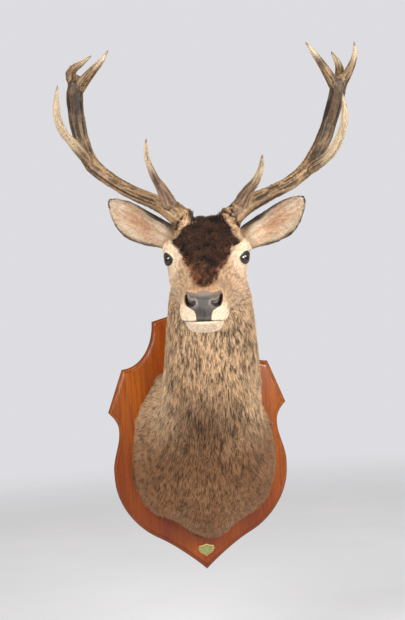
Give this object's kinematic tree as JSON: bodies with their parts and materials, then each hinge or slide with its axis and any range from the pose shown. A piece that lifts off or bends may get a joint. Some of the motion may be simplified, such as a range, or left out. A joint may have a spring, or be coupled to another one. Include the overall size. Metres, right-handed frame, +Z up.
{
  "type": "red deer stag shoulder mount on a shield board",
  "caption": "Taxidermy shoulder mount of a red deer stag with branched antlers, head turned slightly, on a moulded wooden shield board with a small blank brass plate.",
  "frame": {"origin": "centre of the board's back face, where it lies on the wall", "axes": "+Z up along the wall, +Y into the wall (out of the board's back), +X to the right of someone who faces the mount, which is the animal's left"},
  "size_m": [0.6849, 0.6855, 1.2157],
  "materials": {
    "board": "polished mahogany, glossy varnish",
    "brass": "aged, greenish, blank",
    "coat": "grey-brown deer hair, cream on the face, blackish on the forehead",
    "nose": "dark grey, pebbled, slightly shiny",
    "eye": "dark brown glass eye",
    "antler": "grooved brown antler with ivory tine tips"
  },
  "bodies": {
    "root": {"board": "board", "plaque": "brass", "plaque_pin_left": "brass", "plaque_pin_right": "brass", "chest": "coat", "neck_lower": "coat", "neck_upper": "coat", "head": "coat", "muzzle": "coat", "nose": "nose", "lower_jaw": "coat", "ear_left": "coat", "ear_right": "coat", "eye_left": "eye", "eye_right": "eye", "antler_right_burr": "antler", "antler_right_beam_lower": "antler", "antler_right_beam_upper": "antler", "antler_right_brow_tine": "antler", "antler_right_trez_tine": "antler", "antler_right_crown_front": "antler", "antler_right_crown_rear": "antler", "antler_left_burr": "antler", "antler_left_beam_lower": "antler", "antler_left_beam_upper": "antler", "antler_left_brow_tine": "antler", "antler_left_trez_tine": "antler", "antler_left_crown_front": "antler", "antler_left_crown_rear": "antler", "antler_left_crown_outer": "antler"}
  },
  "joints": []
}
